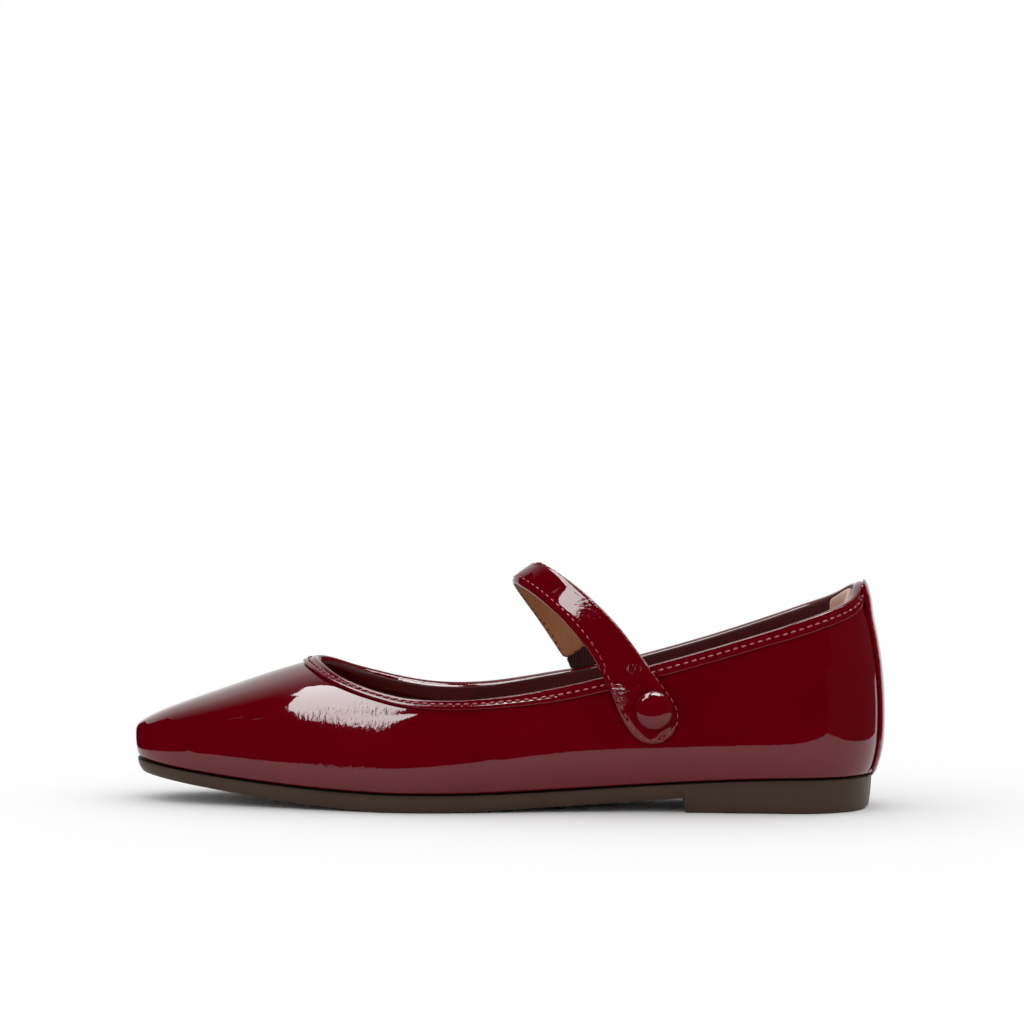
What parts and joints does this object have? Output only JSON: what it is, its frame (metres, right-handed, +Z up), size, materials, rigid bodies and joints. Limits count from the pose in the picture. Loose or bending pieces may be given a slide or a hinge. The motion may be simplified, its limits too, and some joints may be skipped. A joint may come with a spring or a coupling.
{
  "type": "mary jane shoe",
  "caption": "Low-heeled left mary jane flat in patent leather with a bound topline, a buttoned strap over the instep and a moulded sole.",
  "frame": {"origin": "middle of the shoe's base, in plan the middle of its box, on the floor that the sole stands on", "axes": "+X from the toe towards the back of the heel, +Y towards the inner side of the foot, +Z up"},
  "size_m": [0.249, 0.0792, 0.0802],
  "materials": {
    "patent_leather": "dark red patent leather, high gloss",
    "sole_rubber": "brown moulded rubber, satin",
    "insole_leather": "tan leather, matt",
    "elastic": "ribbed dark red elastic, matt"
  },
  "bodies": {
    "root": {"outsole": "sole_rubber", "insole": "insole_leather", "upper": "patent_leather", "topline_binding": "patent_leather", "back_strip": "patent_leather", "strap": "patent_leather", "strap_elastic": "elastic", "button": "patent_leather"}
  },
  "joints": []
}
